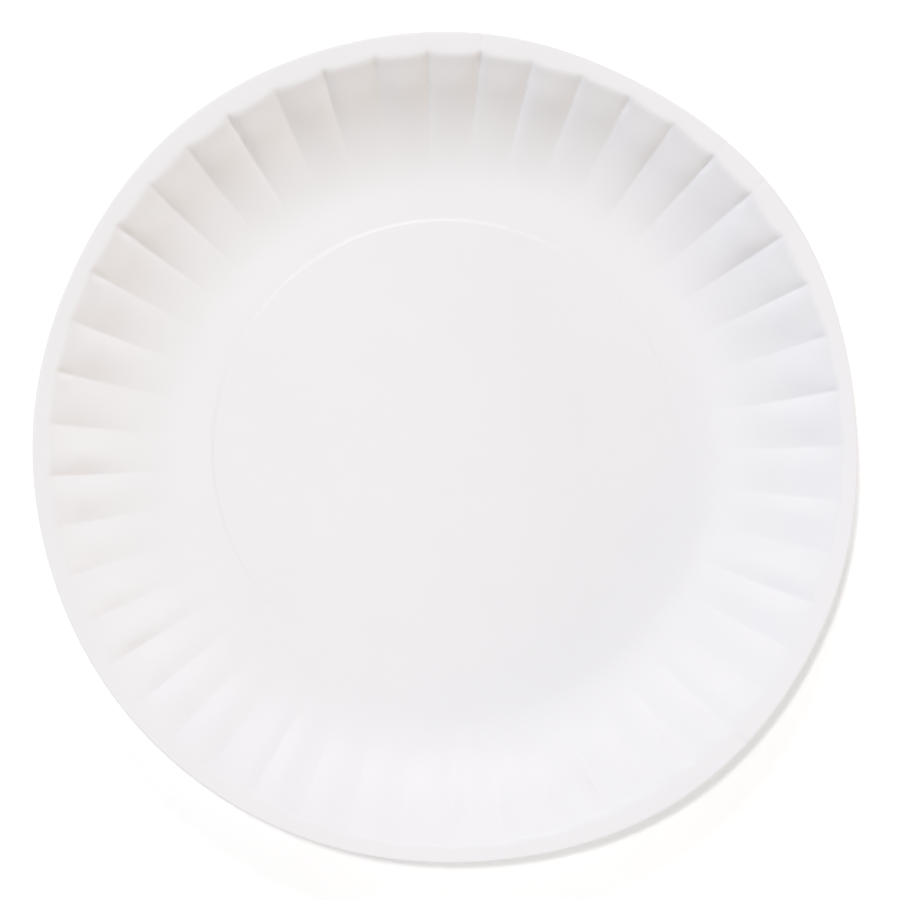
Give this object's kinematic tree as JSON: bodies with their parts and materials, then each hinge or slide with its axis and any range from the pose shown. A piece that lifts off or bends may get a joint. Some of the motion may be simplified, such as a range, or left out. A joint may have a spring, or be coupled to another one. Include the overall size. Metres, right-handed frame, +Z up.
{
  "type": "paper plate",
  "caption": "Round white paper plate: a flat base with a faint pressed ring, a curved foot, a steep fluted wall and a narrow level rim.",
  "frame": {"origin": "middle of the underside, level with the flat band that the plate stands on", "axes": "+Z up out of the plate's well, along its axis; X and Y lie on the table, and X passes over the middle of a flute"},
  "size_m": [0.1524, 0.1524, 0.0128],
  "materials": {
    "paperboard": "matte"
  },
  "bodies": {
    "root": {"plate": "paperboard"}
  },
  "joints": []
}
